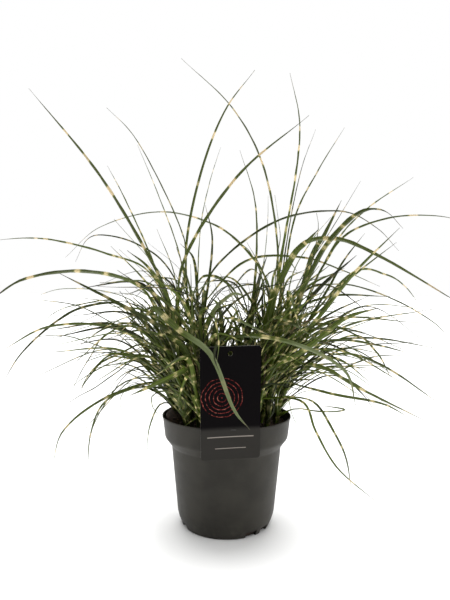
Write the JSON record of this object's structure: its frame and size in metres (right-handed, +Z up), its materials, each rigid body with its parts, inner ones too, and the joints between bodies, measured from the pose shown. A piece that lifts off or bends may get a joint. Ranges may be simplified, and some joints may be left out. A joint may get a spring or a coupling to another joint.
{
  "type": "potted ornamental grass",
  "caption": "Clump of arching cross-banded grass leaves growing from soil in a round plastic nursery pot, with a plain card label hung on its rim.",
  "frame": {"origin": "centre of the pot's underside", "axes": "+Z up along the pot's axis, -Y towards the front, where the label hangs"},
  "size_m": [0.5963, 0.4489, 0.6052],
  "materials": {
    "pot_plastic": "matte",
    "soil": "loose and rough",
    "label_plastic": "satin",
    "leaf": "satin, with cream cross bands"
  },
  "bodies": {
    "root": {"pot": "pot_plastic", "soil": "soil", "label": "label_plastic", "shoot_1": "leaf", "shoot_2": "leaf", "shoot_3": "leaf", "shoot_4": "leaf", "shoot_5": "leaf", "shoot_6": "leaf", "shoot_7": "leaf", "shoot_8": "leaf", "shoot_9": "leaf", "shoot_10": "leaf", "shoot_11": "leaf", "shoot_12": "leaf", "shoot_13": "leaf", "shoot_14": "leaf", "shoot_15": "leaf", "shoot_16": "leaf", "shoot_17": "leaf", "shoot_18": "leaf", "shoot_19": "leaf", "shoot_20": "leaf", "shoot_21": "leaf", "shoot_22": "leaf", "shoot_23": "leaf", "shoot_24": "leaf", "shoot_25": "leaf", "shoot_26": "leaf", "shoot_27": "leaf", "shoot_28": "leaf", "shoot_29": "leaf", "shoot_30": "leaf", "shoot_31": "leaf", "shoot_32": "leaf", "shoot_33": "leaf", "shoot_34": "leaf", "shoot_35": "leaf", "shoot_36": "leaf", "shoot_37": "leaf", "shoot_38": "leaf", "shoot_39": "leaf", "shoot_40": "leaf", "shoot_41": "leaf", "shoot_42": "leaf", "shoot_43": "leaf", "shoot_44": "leaf", "shoot_45": "leaf"}
  },
  "joints": []
}
